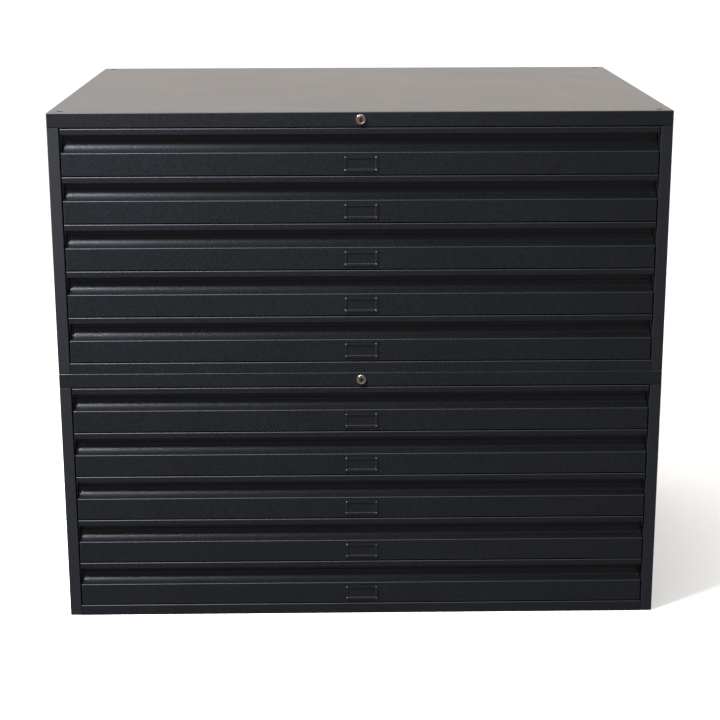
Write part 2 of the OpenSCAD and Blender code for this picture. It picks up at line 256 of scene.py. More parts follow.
def textured_powder_coat(name, base):
    """Polyester powder coat, sprayed dry and baked: satin, with a fine orange-peel grain over the steel.

    The real grain is about 0.6 mm; it is drawn at 2.4 mm so that it shows. On a sharp bend the coat is
    thinner, so the bend is a little drier; its colour is also painted lighter there, partly for the thinner
    coat and partly as a painted highlight along the bend.
    """
    material, tree, shader, place = new_material(name)
    grain = add_node(tree, "ShaderNodeTexNoise", Vector=(place, "Object"), Scale=period(2.4), Detail=2.0,
                     Roughness=0.55)
    peel = add_node(tree, "ShaderNodeTexNoise", Vector=(place, "Object"), Scale=period(6.0), Detail=1.0)
    cloud = add_node(tree, "ShaderNodeTexNoise", Vector=(place, "Object"), Scale=period(140.0), Detail=3.0,
                     Roughness=0.6)
    bend = add_node(tree, "ShaderNodeAttribute", {"attribute_name": "fold"})
    # painted highlight: sharp bend faces are mixed towards this lighter colour, partly for the thinner coat
    # and partly as a painted highlight along the bend
    light = tuple(min(1.0, c * 1.9 + 0.004) for c in base[:3]) + (1.0,)
    dark = tuple(c * 0.55 for c in base[:3]) + (1.0,)
    pale = tuple(c * 1.35 for c in base[:3]) + (1.0,)
    speck = ramp(tree, (grain, "Fac"), [(0.36, dark), (0.64, pale)])
    shade = ramp(tree, (cloud, "Fac"), [(0.3, 0.86), (0.7, 1.0)])
    cloudy = add_node(tree, "ShaderNodeMix", {"data_type": "RGBA", "blend_type": "MULTIPLY"}, Factor=1.0,
                      i6=(speck, "Color"), i7=(shade, "Color"))
    # mask of the lighter bend colour: thinner coat and painted highlight on sharp bends
    thin_coat_and_painted_highlight = add_node(tree, "ShaderNodeMath", {"operation": "MULTIPLY"}, i0=(bend, "Fac"), i1=0.25)
    coat = add_node(tree, "ShaderNodeMix", {"data_type": "RGBA"}, i0=(thin_coat_and_painted_highlight, "Value"), i6=(cloudy, 2),
                    i7=light)
    tree.links.new(coat.outputs[2], shader.inputs["Base Color"])
    sheen = add_node(tree, "ShaderNodeMapRange", Value=(cloud, "Fac"))
    sheen.inputs["To Min"].default_value = 0.30
    sheen.inputs["To Max"].default_value = 0.36
    gloss = add_node(tree, "ShaderNodeMath", {"operation": "MULTIPLY_ADD"}, i0=(bend, "Fac"), i1=0.16,
                     i2=(sheen, "Result"))
    tree.links.new(gloss.outputs["Value"], shader.inputs["Roughness"])
    wave = add_node(tree, "ShaderNodeBump", Height=(peel, "Fac"), Strength=0.05, Distance=0.0004)
    relief = add_node(tree, "ShaderNodeBump", Height=(grain, "Fac"), Normal=(wave, "Normal"), Strength=0.6,
                      Distance=0.0003)
    tree.links.new(relief.outputs["Normal"], shader.inputs["Normal"])
    shader.inputs["IOR"].default_value = 1.48
    return material


def plated_steel(name, base, roughness, brushing, haze):
    """Plated steel, rolled and then plated bright: a metal with drawn lines along Y and a faint haze.

    Plate lines are a few hundredths of a millimetre apart; they are drawn at 0.8 mm so that they show.
    """
    material, tree, shader, place = new_material(name)
    stretch = add_node(tree, "ShaderNodeMapping", Vector=(place, "Object"), Scale=(1.0, 0.03, 1.0))
    lines = add_node(tree, "ShaderNodeTexNoise", Vector=(stretch, "Vector"), Scale=period(0.8), Detail=2.0)
    cloud = add_node(tree, "ShaderNodeTexNoise", Vector=(place, "Object"), Scale=period(18.0), Detail=3.0)
    dull = tuple(c * (1 - haze) for c in base[:3]) + (1.0,)
    tint = ramp(tree, (cloud, "Fac"), [(0.35, dull), (0.65, base)])
    tree.links.new(tint.outputs["Color"], shader.inputs["Base Color"])
    shine = add_node(tree, "ShaderNodeMapRange", Value=(lines, "Fac"))
    shine.inputs["To Min"].default_value = roughness - 0.06
    shine.inputs["To Max"].default_value = roughness + 0.08
    tree.links.new(shine.outputs["Result"], shader.inputs["Roughness"])
    drawn = add_node(tree, "ShaderNodeBump", Height=(lines, "Fac"), Strength=brushing, Distance=0.0001)
    tree.links.new(drawn.outputs["Normal"], shader.inputs["Normal"])
    shader.inputs["Metallic"].default_value = 1.0
    return material


def spangled_zinc(name, base):
    """Hot-dip galvanised steel: zinc that froze into flat crystals 6 mm across, each with its own sheen."""
    material, tree, shader, place = new_material(name)
    crystals = add_node(tree, "ShaderNodeTexVoronoi", Vector=(place, "Object"), Scale=period(6.0))
    dull = tuple(c * 0.72 for c in base[:3]) + (1.0,)
    tint = ramp(tree, (crystals, "Color"), [(0.2, dull), (0.8, base)])
    tree.links.new(tint.outputs["Color"], shader.inputs["Base Color"])
    shine = add_node(tree, "ShaderNodeMapRange", Value=(crystals, "Color"))
    shine.inputs["To Min"].default_value = 0.3
    shine.inputs["To Max"].default_value = 0.5
    tree.links.new(shine.outputs["Result"], shader.inputs["Roughness"])
    shader.inputs["Metallic"].default_value = 1.0
    return material


def painted_floor(name, base):
    """Matt emulsion on board, rolled on: an even pale floor with a broad, very faint mottle."""
    material, tree, shader, place = new_material(name)
    cloud = add_node(tree, "ShaderNodeTexNoise", Vector=(place, "Object"), Scale=period(900.0), Detail=2.0)
    dull = tuple(c * 0.985 for c in base[:3]) + (1.0,)
    tint = ramp(tree, (cloud, "Fac"), [(0.3, dull), (0.7, base)])
    tree.links.new(tint.outputs["Color"], shader.inputs["Base Color"])
    shader.inputs["Roughness"].default_value = 0.9
    return material


def finish_of(slot):
    """The material of a slot in the record, made once."""
    name = f"{slot}_finish"
    made = bpy.data.materials.get(name)
    if made:
        return made
    colours = bpy.context.scene.plan_chest_finishes
    makers = {
        "casing_paint": lambda: textured_powder_coat(name, tuple(colours.casing)),
        "drawer_paint": lambda: textured_powder_coat(name, tuple(colours.drawer)),
        "holder_paint": lambda: textured_powder_coat(name, tuple(colours.holder)),
        "lock_nickel": lambda: plated_steel(name, tuple(colours.nickel), 0.22, 0.05, 0.12),
        "lock_plug": lambda: plated_steel(name, tuple(colours.plug), 0.4, 0.05, 0.3),
        "rivet": lambda: plated_steel(name, tuple(colours.rivet), 0.42, 0.05, 0.15),
        "insert": lambda: plated_steel(name, tuple(colours.insert), 0.5, 0.05, 0.2),
        "zinc_steel": lambda: plated_steel(name, tuple(colours.zinc), 0.34, 0.12, 0.1),
        "galvanised_steel": lambda: spangled_zinc(name, tuple(colours.galvanised)),
    }
    return makers[slot]()


# ---------- sheet-metal helpers ----------

PLACE = {
    "X": lambda a, p, q: Vector((a, p, q)),
    "Y": lambda a, p, q: Vector((p, a, q)),
    "Z": lambda a, p, q: Vector((p, q, a)),
}


def new_sheet():
    """An empty mesh whose faces remember whether they are a fold."""
    bm = bmesh.new()
    bm.faces.layers.float.new("fold")
    return bm


def rectangle(bm, corner, across, up):
    """A flat face from a corner and two sides; it faces the way that across x up points."""
    centre = corner + (across + up) / 2
    axes = Matrix((across.normalized(), up.normalized(), across.cross(up).normalized()))
    turn = axes.transposed().to_4x4()
    size = Matrix.Diagonal((across.length / 2, up.length / 2, 1.0, 1.0))
    made = bmesh.ops.create_grid(bm, x_segments=1, y_segments=1, size=1.0,
                                 matrix=Matrix.Translation(centre) @ turn @ size)
    return made["verts"][0].link_faces[0]


def pull_out(bm, edges, step):
    """Extrudes edges by a step and gives the new edges that run beside them."""
    made = bmesh.ops.extrude_edge_only(bm, edges=edges)["geom"]
    verts = [g for g in made if isinstance(g, bmesh.types.BMVert)]
    bmesh.ops.translate(bm, verts=verts, vec=step)
    new = set(verts)
    return [g for g in made if isinstance(g, bmesh.types.BMEdge) and set(g.verts) <= new]


def roll(bm, edges, along, into, radius, reach, segments=5):
    """Rolls edges round a fold from one direction into another and runs the flange on to its full reach.

    Both directions are unit vectors, and radius and reach are measured to the outside of the fold.
    """
    layer = bm.faces.layers.float["fold"]
    angles = [math.pi / 2 * i / segments for i in range(segments + 1)]
    arc = [radius * (math.sin(a) * along + (1 - math.cos(a)) * into) for a in angles]
    for here, there in zip(arc, arc[1:]):
        edges = pull_out(bm, edges, there - here)
        for face in {f for e in edges for f in e.link_faces}:
            face[layer] = 1.0
    return pull_out(bm, edges, (reach - radius) * into)


def parts_of(faces):
    """Faces with their edges and corners, as a cut needs them."""
    edges = {e for f in faces for e in f.edges}
    verts = {v for f in faces for v in f.verts}
    return list(faces) + list(edges) + list(verts)


def cut(bm, faces, point, normal):
    """Cuts faces along a plane and gives the faces that they became."""
    made = bmesh.ops.bisect_plane(bm, geom=parts_of(faces), dist=WELD, plane_co=point, plane_no=normal)
    bm.normal_update()
    return [g for g in made["geom"] if isinstance(g, bmesh.types.BMFace)]


def round_folds(bm, folds):
    """Rounds each (edges, radius, segments) fold and marks its faces."""
    layer = bm.faces.layers.float["fold"]
    for edges, radius, segments in folds:
        made = bmesh.ops.bevel(bm, geom=[e for e in edges if e.is_valid], offset=radius,
                               offset_type="OFFSET", segments=segments, profile=0.5, affect="EDGES",
                               clamp_overlap=False, material=-1, loop_slide=True)
        for face in made["faces"]:
            face[layer] = float(radius < GENTLE)


def strip(bm, axis, low, high, path, folds, outward):
    """A sheet folded along a path of flats that runs straight from low to high along an axis.

    folds holds a (radius, segments) pair for each inner point, and outward is the first flat's outer side.
    """
    first = [bm.verts.new(PLACE[axis](a, *path[0])) for a in (low, high)]
    edge = bm.edges.new(first)
    before = set(bm.faces)
    bends = []
    for here, there in zip(path, path[1:]):
        step = PLACE[axis](0.0, there[0] - here[0], there[1] - here[1])
        if here is not path[0]:
            bends.append(edge)
        edge = pull_out(bm, [edge], step)[0]
    faces = [f for f in bm.faces if f not in before]
    bm.normal_update()
    start = next(f for f in faces if first[0] in f.verts)
    if start.normal.dot(Vector(outward)) < 0:
        bmesh.ops.reverse_faces(bm, faces=faces)
    round_folds(bm, [([e], *fold) for e, fold in zip(bends, folds)])
    return faces


def edges_at(bm, test):
    """Edges both of whose ends pass a test."""
    return [e for e in bm.edges if all(test(v.co) for v in e.verts)]


def open_patch(bm, centre, normal, half):
    """Opens a square window in the flat face round a point and gives its edges."""
    axes = [a for a in (Vector((1, 0, 0)), Vector((0, 1, 0)), Vector((0, 0, 1))) if abs(a.dot(normal)) < 0.5]

    def flat(face):
        return abs(face.normal.dot(normal)) > 0.999 and abs((face.verts[0].co - centre).dot(normal)) < NEAR

    bm.normal_update()
    for axis in axes:
        for side in (-half, half):
            cut(bm, [f for f in bm.faces if flat(f)], centre + side * axis, axis)
    reach = half * 1.5
    patch = next(f for f in bm.faces if flat(f) and all((v.co - centre).length < reach for v in f.verts))
    edges = list(patch.edges)
    bmesh.ops.delete(bm, geom=[patch], context="FACES_ONLY")
    return edges


def ring_in(bm, centre, normal, radius, half, sides=32):
    """Makes the flat round a point into a ring, and gives the edges of its round opening."""
    square = open_patch(bm, centre, normal, half)
    turn = normal.to_track_quat("Z", "Y").to_matrix().to_4x4()
    verts = bmesh.ops.create_circle(bm, cap_ends=False, radius=radius, segments=sides,
                                    matrix=Matrix.Translation(centre) @ turn)["verts"]
    ring = list({e for v in verts for e in v.link_edges})
    made = bmesh.ops.triangle_fill(bm, use_beauty=True, use_dissolve=False, edges=square + ring,
                                   normal=normal)["geom"]
    faces = [g for g in made if isinstance(g, bmesh.types.BMFace)]
    bm.normal_update()
    bmesh.ops.reverse_faces(bm, faces=[f for f in faces if f.normal.dot(normal) < 0])
    return ring


def weld_mark(bm, centre, normal, radius, depth):
    """Presses the shallow round mark of a spot weld into a flat face."""
    ring = ring_in(bm, centre, normal, radius, radius * 1.5, sides=16)
    floor = bmesh.ops.contextual_create(bm, geom=ring)["faces"]
    bm.normal_update()
    bmesh.ops.reverse_faces(bm, faces=[f for f in floor if f.normal.dot(normal) < 0])
    bmesh.ops.inset_region(bm, faces=floor, thickness=radius * 0.3, depth=0.0, use_even_offset=True)
    bmesh.ops.translate(bm, verts=list({v for f in floor for v in f.verts}), vec=-depth * normal)


def turned(profile, steps):
    """A new mesh: a closed (radius, y) profile turned about the Y axis."""
    bm = new_sheet()
    verts = [bm.verts.new((r, y, 0.0)) for r, y in profile]
    edges = [bm.edges.new(pair) for pair in zip(verts, verts[1:] + verts[:1])]
    bmesh.ops.spin(bm, geom=verts + edges, cent=(0, 0, 0), axis=(0, 1, 0), dvec=(0, 0, 0),
                   angle=2 * math.pi, steps=steps, use_merge=True, use_duplicate=False,
                   use_normal_flip=False)
    bmesh.ops.remove_doubles(bm, verts=bm.verts, dist=WELD)
    bmesh.ops.recalc_face_normals(bm, faces=bm.faces)
    return bm


def piece(name, bm, offset, node, slot=None, sheet=None, soften=None, finish=None):
    """Makes an object from a mesh, rides it on its node's body, and hides the node in its place."""
    mesh = bpy.data.meshes.new(name)
    bm.to_mesh(mesh)
    mesh.transform(Matrix.Translation(offset))
    for polygon in mesh.polygons:
        polygon.use_smooth = True
    made = bpy.data.objects.new(name, mesh)
    bpy.context.scene.collection.objects.link(made)
    if sheet:
        wall = made.modifiers.new("Wall", "SOLIDIFY")
        wall.thickness = sheet
        wall.offset = -1.0
        wall.use_even_offset = True
    if soften:
        bevel = made.modifiers.new("Soft edges", "BEVEL")
        bevel.width = soften
        bevel.segments = 2
        bevel.limit_method = "ANGLE"
        bevel.angle_limit = math.radians(50)
    shading = made.modifiers.new("Flat shading", "WEIGHTED_NORMAL")
    shading.keep_sharp = True
    slot = slot or NODE_SLOT[node]
    made.data.materials.append(finish_of(finish or slot))
    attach(made, NODE_BODY[node])
    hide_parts(node)
    return made


def unit_offset(unit):
    """Where a cabinet's own coordinates start: the front face at floor level of that cabinet."""
    return Vector((0.0, FRONT_Y, UNIT_Z[unit]))


def drawer_offset(drawer):
    """Where a drawer's own coordinates start: the bottom of its front face."""
    return Vector((0.0, FRONT_Y, DRAWER_Z[drawer]))


def stack_points():
    """The four places where one cabinet is bolted to the next, in a cabinet's own coordinates."""
    low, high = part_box("threaded_inserts")
    xs = (low.x + COLLAR, high.x - COLLAR)
    ys = (low.y + COLLAR - FRONT_Y, high.y - COLLAR - FRONT_Y)
    return [Vector((x, y, 0.0)) for x in xs for y in ys]


X, Y, Z = Vector((1, 0, 0)), Vector((0, 1, 0)), Vector((0, 0, 1))
MIRROR_X = Matrix.Diagonal((-1.0, 1.0, 1.0, 1.0))


# ---------- casing ----------

class PLANCHEST_OT_top_panels(bpy.types.Operator):
    """Fold the top panel of each cabinet, with its fascia, skirts, corner holes and lock hole"""

    bl_idname = "planchest.top_panels"
    bl_label = "Top Panels"

    def execute(self, context):
        s = context.scene.plan_chest_sizes
        bm = new_sheet()
        rectangle(bm, Vector((-HALF_W, 0, UNIT_H)), 2 * HALF_W * X, DEPTH * Y)
        rim = list(bm.edges)
        corners = {v for e in rim for v in e.verts}
        pull_out(bm, rim, (s.fold_radius - s.fascia_h) * Z)
        posts = [e for e in bm.edges if len(set(e.verts) & corners) == 1]
        bm.normal_update()
        round_folds(bm, [(rim + posts, s.fold_radius, 5)])
        hem = [e for e in bm.edges if e.is_boundary]
        front = [e for e in hem if all(v.co.y < NEAR for v in e.verts)]
        pull_out(bm, [e for e in hem if e not in front], -s.fold_radius * Z)
        roll(bm, front, -Z, Y, s.fold_radius, s.fascia_return)
        margin = 2 * MM
        for point in stack_points():
            ring_in(bm, point + UNIT_H * Z, Z, s.insert_bore, s.insert_bore + margin)
        lock = Vector((0, 0, UNIT_H - s.fascia_h / 2))
        ring_in(bm, lock, -Y, s.lock_bore, s.lock_bore + margin)
        self.bar_guides(bm)
        for unit in UNITS:
            piece(f"{unit}_top_panel_folded", bm, unit_offset(unit), f"{unit}_top_panel", sheet=SHEET,
                  soften=s.edge_round)
        bm.free()
        return {"FINISHED"}

    def bar_guides(self, bm):
        """Two hangers under the top that the locking bar slides through."""
        top = UNIT_H - SHEET
        bar_t = 2 * MM
        bar_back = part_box("lower_lock_bar")[1].y - FRONT_Y
        play = 0.5 * MM
        front_y = bar_back - bar_t - play - SHEET
        back_y = bar_back + play + SHEET
        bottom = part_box("lower_top_panel")[0].z
        path = [(front_y, top), (front_y, bottom), (back_y, bottom), (back_y, top)]
        bend = (1.3 * MM, 3)
        guide_w = 12 * MM
        for share in (0.3, 0.8):
            x = share * HALF_W
            strip(bm, "X", x, x + guide_w, path, [bend] * 2, -Y)


class PLANCHEST_OT_side_panels(bpy.types.Operator):
    """Fold the two side panels of each cabinet, with their front columns, floor and rear flanges"""

    bl_idname = "planchest.side_panels"
    bl_label = "Side Panels"

    def execute(self, context):
        s = context.scene.plan_chest_sizes
        top = UNIT_H - s.fascia_h - s.seam
        column_w = HALF_W - FRONT_HW - s.side_gap
        radius = s.fold_radius
        bm = new_sheet()
        rectangle(bm, Vector((HALF_W, radius, radius)), (DEPTH - 2 * radius) * Y, (top - radius) * Z)
        front = edges_at(bm, lambda co: co.y < radius + NEAR)
        rear = edges_at(bm, lambda co: co.y > DEPTH - radius - NEAR)
        foot = edges_at(bm, lambda co: co.z < radius + NEAR)
        inner = roll(bm, front, -Y, -X, radius, column_w - radius)
        roll(bm, inner, -X, Y, radius, s.column_return)
        roll(bm, rear, Y, -X, radius, s.back_flange)
        roll(bm, foot, -Z, -X, radius, s.foot_flange)
        bm.normal_update()
        margin = 1.5 * MM
        for point in stack_points():
            if point.x > 0:
                ring_in(bm, point, -Z, s.stack_bore, s.stack_bore + margin)
        welds = 6
        for i in range(welds):
            spot = Vector((HALF_W - s.back_flange / 2, DEPTH, top * (i + 0.5) / welds))
            weld_mark(bm, spot, Y, s.weld_radius, s.weld_depth)
        self.tab(bm, s, top)
        mirrored = bm.copy()
        bmesh.ops.transform(mirrored, matrix=MIRROR_X, verts=mirrored.verts)
        bmesh.ops.reverse_faces(mirrored, faces=mirrored.faces)
        for unit in UNITS:
            piece(f"{unit}_right_side_folded", bm, unit_offset(unit), f"{unit}_right_side", sheet=SHEET,
                  soften=s.edge_round)
            piece(f"{unit}_left_side_folded", mirrored, unit_offset(unit), f"{unit}_left_side", sheet=SHEET,
                  soften=s.edge_round)
        bm.free()
        mirrored.free()
        return {"FINISHED"}

    def tab(self, bm, s, top):
        """The strip that laps inside the top panel's skirt."""
        lap = 10 * MM
        rectangle(bm, Vector((HALF_W - SHEET, s.fascia_return + s.seam, top - lap)),
                  (DEPTH - s.fascia_return - s.seam - 2 * SHEET) * Y, (UNIT_H - SHEET - top + lap) * Z)


class PLANCHEST_OT_back_panels(bpy.types.Operator):
    """Make the back panel of each cabinet, a sheet with two pressed stiffening fields"""

    bl_idname = "planchest.back_panels"
    bl_label = "Back Panels"

    def execute(self, context):
        s = context.scene.plan_chest_sizes
        low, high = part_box("lower_back_panel")
        bm = new_sheet()
        back = high.y - FRONT_Y
        rectangle(bm, Vector((high.x, back, low.z)), (low.x - high.x) * X, (high.z - low.z) * Z)
        bmesh.ops.bisect_plane(bm, geom=bm.verts[:] + bm.edges[:] + bm.faces[:], plane_co=(0, 0, 0),
                               plane_no=X)
        margin = 45 * MM
        slope = 6 * MM
        press = 1.2 * MM
        fields = list(bm.faces)
        bmesh.ops.inset_individual(bm, faces=fields, thickness=margin, depth=0.0, use_even_offset=True)
        made = bmesh.ops.inset_individual(bm, faces=fields, thickness=slope, depth=0.0, use_even_offset=True)
        layer = bm.faces.layers.float["fold"]
        for face in made["faces"]:
            face[layer] = 1.0
        bmesh.ops.translate(bm, verts=list({v for f in fields for v in f.verts}), vec=-press * Y)
        for unit in UNITS:
            piece(f"{unit}_back_panel_pressed", bm, unit_offset(unit), f"{unit}_back_panel", sheet=SHEET,
                  soften=s.edge_round)
        bm.free()
        return {"FINISHED"}


class PLANCHEST_OT_base_panels(bpy.types.Operator):
    """Fold the base of each cabinet: the front rail and the floor sheet behind it"""

    bl_idname = "planchest.base_panels"
    bl_label = "Base Panels"

    def execute(self, context):
        s = context.scene.plan_chest_sizes
        rail_hw = FRONT_HW + s.side_gap - s.seam
        sheet_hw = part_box("lower_base_panel")[1].x
        bm = new_sheet()
        strip(bm, "X", -rail_hw, rail_hw,
              [(s.column_return, s.rail_h / 2), (s.column_return, s.rail_h), (0, s.rail_h), (0, 0)],
              [(s.fold_radius, 4)] * 2, Y)
        floor = rectangle(bm, Vector((-sheet_hw, DEPTH - 2 * SHEET, SHEET)), 2 * sheet_hw * X,
                          (s.column_return + s.seam + 2 * SHEET - DEPTH) * Y)
        if floor.normal.z > 0:
            bmesh.ops.reverse_faces(bm, faces=[floor])
        rectangle(bm, Vector((-rail_hw, s.column_return + s.seam, SHEET)), 2 * rail_hw * X,
                  (SHEET - s.column_return - s.seam) * Y)
        margin = 1.5 * MM
        for point in stack_points():
            ring_in(bm, point + SHEET * Z, -Z, s.stack_bore, s.stack_bore + margin)
        for unit in UNITS:
            piece(f"{unit}_base_panel_folded", bm, unit_offset(unit), f"{unit}_base_panel", sheet=SHEET,
                  soften=s.edge_round)
        bm.free()
        return {"FINISHED"}


# ---------- drawers ----------

class PLANCHEST_OT_drawer_fronts(bpy.types.Operator):
    """Fold the front of each drawer from one sheet: flat face, sharp fold and scooped finger recess"""

    bl_idname = "planchest.drawer_fronts"
    bl_label = "Drawer Fronts"

    def execute(self, context):
        s = context.scene.plan_chest_sizes
        bm = new_sheet()
        inner = GRIP_DEPTH - SHEET
        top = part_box(f"{DRAWERS[0]}_front")[1].z - DRAWER_Z[DRAWERS[0]]
        strip(bm, "X", -FRONT_HW, FRONT_HW,
              [(s.bottom_return, 0), (0, 0), (0, s.flat_h), (inner, s.flat_h), (inner, top)],
              [(s.fold_radius, 5), (s.sharp_radius, 4), (s.grip_radius, 20)], -Z)
        self.end_returns(bm, s)
        bm.normal_update()
        for drawer in DRAWERS:
            piece(f"{drawer}_front_folded", bm, drawer_offset(drawer), f"{drawer}_front", sheet=SHEET,
                  soften=s.edge_round)
        bm.free()
        return {"FINISHED"}

    def end_returns(self, bm, s):
        """The face's ends, folded back. The right-hand one is notched for the locking bar's tongue."""
        low, high = s.relief, s.flat_h - s.relief
        radius = s.fold_radius
        notch_front = GRIP_DEPTH - 5.5 * MM
        notch_top = 13.5 * MM
        for side in (-1, 1):
            flat = [f for f in bm.faces if f.normal.y < -0.999 and f.calc_center_median().z < s.flat_h]
            cut(bm, flat, side * (FRONT_HW - radius) * X, X)
            end = [f for f in bm.faces if f.normal.y < -0.999 and f.calc_center_median().z < s.flat_h
                   and side * f.calc_center_median().x > FRONT_HW - radius]
            for height in (low, high):
                end = cut(bm, end, height * Z, Z)
            patch = [f for f in end if low < f.calc_center_median().z < high]
            joint = [e for e in patch[0].edges
                     if all(abs(abs(v.co.x) - FRONT_HW + radius) < NEAR for v in e.verts)]
            bmesh.ops.delete(bm, geom=patch, context="FACES")
            tail = roll(bm, [e for e in joint if e.is_valid], side * X, Y, radius, GRIP_DEPTH)
            bm.normal_update()
            if side > 0:
                wall = cut(bm, list(tail[0].link_faces), notch_front * Y, Y)
                wall = cut(bm, wall, notch_top * Z, Z)
                notch = [f for f in wall if f.calc_center_median().y > notch_front
                         and f.calc_center_median().z < notch_top]
                bmesh.ops.delete(bm, geom=notch, context="FACES")


class PLANCHEST_OT_drawer_trays(bpy.types.Operator):
    """Fold each drawer's tray, and the wall that runs up, over the finger recess and down to the lip"""

    bl_idname = "planchest.drawer_trays"
    bl_label = "Drawer Trays"

    def execute(self, context):
        s = context.scene.plan_chest_sizes
        tray_hw = FRONT_HW + s.side_gap - s.slide_w - SHIM
        bm = new_sheet()
        wall_y = GRIP_DEPTH + SHEET
        lip_z = FRONT_H - s.lip_h
        hem_bend = (1.5 * MM, 4)
        strip(bm, "X", -FRONT_HW, FRONT_HW,
              [(s.lip_hem, lip_z), (0, lip_z), (0, FRONT_H), (wall_y, FRONT_H), (wall_y, TRAY_BOTTOM)],
              [hem_bend, (s.fold_radius, 5), (s.fold_radius, 4)], -Z)
        self.box(bm, s, tray_hw)
        runners = self.runners(s)
        for drawer in DRAWERS:
            node = f"{drawer}_tray"
            piece(f"{drawer}_tray_folded", bm, drawer_offset(drawer), node, sheet=SHEET, soften=s.edge_round)
            piece(f"{drawer}_tray_runners", runners, drawer_offset(drawer), node, slot="zinc_steel",
                  sheet=s.slide_sheet, soften=s.edge_round)
        bm.free()
        runners.free()
        return {"FINISHED"}

    def box(self, bm, s, tray_hw):
        """Floor, side walls and back wall with inward flanges."""
        before = set(bm.edges)
        floor = rectangle(bm, Vector((-tray_hw, GRIP_DEPTH, TRAY_BOTTOM)), 2 * tray_hw * X,
                          (TRAY_END - GRIP_DEPTH) * Y)
        bmesh.ops.reverse_faces(bm, faces=[floor])
        rim = [e for e in bm.edges if e not in before and any(v.co.y > wall_of(s) for v in e.verts)]
        corners = {v for e in rim for v in e.verts if v.co.y > wall_of(s)}
        top = pull_out(bm, rim, s.tray_wall * Z)
        posts = [e for e in bm.edges if e not in before and len(set(e.verts) & corners) == 1
                 and abs((e.verts[0].co - e.verts[1].co).z) > MM]
        brim = pull_out(bm, top, Vector())
        for vert in {v for e in brim for v in e.verts}:
            vert.co.x -= math.copysign(s.tray_flange, vert.co.x)
            if vert.co.y > wall_of(s):
                vert.co.y -= s.tray_flange
        bm.normal_update()
        round_folds(bm, [(rim + posts, s.fold_radius, 3), (top, s.fold_radius, 3)])

    def runners(self, s):
        """The drawer members of the two slides."""
        bm = new_sheet()
        opening = FRONT_HW + s.side_gap
        low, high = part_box(f"{DRAWERS[0]}_slides")
        z_low = low.z - DRAWER_Z[DRAWERS[0]] + SLIDE_STEP
        z_high = high.z - DRAWER_Z[DRAWERS[0]] - SLIDE_STEP
        mouth = opening - 0.6 * s.slide_w
        margin = 10 * MM
        channels(bm, s, opening - s.slide_w, mouth, z_low, z_high, low.y - FRONT_Y - margin,
                 high.y - FRONT_Y + margin, web_out=False)
        return bm


def wall_of(s):
    """Just behind a tray's front edge."""
    return GRIP_DEPTH + s.relief


def channels(bm, s, x_low, x_high, z_low, z_high, y_low, y_high, web_out):
    """A pair of rolled slide members, left and right, with the raceways' lips turned in."""
    lip = 1.2 * MM
    web, mouth = (x_high, x_low) if web_out else (x_low, x_high)
    path = [(mouth, z_low + lip + s.slide_sheet), (mouth, z_low), (web, z_low), (web, z_high),
            (mouth, z_high), (mouth, z_high - lip - s.slide_sheet)]
    bend = (1.6 * MM, 4)
    outward = -X if web_out else X
    for side in (1, -1):
        strip(bm, "Y", y_low, y_high, [(side * p, q) for p, q in path], [bend] * 4, side * outward)


class PLANCHEST_OT_label_holders(bpy.types.Operator):
    """Press each label holder: a thin frame with a window, open at the top, and four rivet heads"""

    bl_idname = "planchest.label_holders"
    bl_label = "Label Holders"

    def execute(self, context):
        s = context.scene.plan_chest_sizes
        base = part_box(f"{DRAWERS[0]}_label_holder")[0].z - DRAWER_Z[DRAWERS[0]]
        frame_sheet = s.label_proud / 2
        bm = new_sheet()
        face = rectangle(bm, Vector((-s.label_w / 2, -s.label_proud, base)), s.label_w * X, s.label_h * Z)
        outer = list(bm.edges)
        bmesh.ops.inset_individual(bm, faces=[face], thickness=s.label_border, depth=0.0,
                                   use_even_offset=True)
        bmesh.ops.delete(bm, geom=[face], context="FACES_ONLY")
        skirt = [e for e in outer if not all(v.co.z > base + s.label_h - NEAR for v in e.verts)]
        pull_out(bm, skirt, s.label_proud * Y)
        corners = {v for e in outer for v in e.verts}
        posts = [e for e in bm.edges if sum(v in corners for v in e.verts) == 1
                 and abs(e.verts[0].co.y - e.verts[1].co.y) > 0.5 * MM
                 and all(v.co.z < base + MM for v in e.verts)]
        bm.normal_update()
        rim_radius = 0.6 * MM
        round_folds(bm, [(skirt + posts, rim_radius, 3)])
        heads = self.rivets(s, base)
        for drawer in DRAWERS:
            node = f"{drawer}_label_holder"
            piece(f"{drawer}_label_holder_pressed", bm, drawer_offset(drawer), node, sheet=frame_sheet,
                  soften=0.12 * MM)
            piece(f"{drawer}_label_holder_rivets", heads, drawer_offset(drawer), node, slot="zinc_steel",
                  finish="rivet")
        bm.free()
        heads.free()
        return {"FINISHED"}

    def rivets(self, s, base):
        """Domed heads of the four rivets."""
        radius, height, inset, sunk = 1.5 * MM, 0.5 * MM, 2.6 * MM, 0.4 * MM
        angles = [math.radians(18 * i) for i in range(5)]
        dome = [(radius * math.cos(a), -height * math.sin(a)) for a in angles]
        bm = new_sheet()
        for x in (inset - s.label_w / 2, s.label_w / 2 - inset):
            for z in (inset, s.label_h - inset):
                single = turned([(0.0, sunk), (radius, sunk)] + dome + [(0.0, -height)], steps=16)
                bmesh.ops.translate(single, verts=single.verts, vec=(x, -s.label_proud, base + z))
                add_mesh(bm, single)
        return bm


def add_mesh(bm, other):
    """Adds another mesh's faces to a mesh and frees the other."""
    carrier = bpy.data.meshes.new("carrier")
    other.to_mesh(carrier)
    bm.from_mesh(carrier)
    bpy.data.meshes.remove(carrier)
    other.free()


# ---------- slides ----------

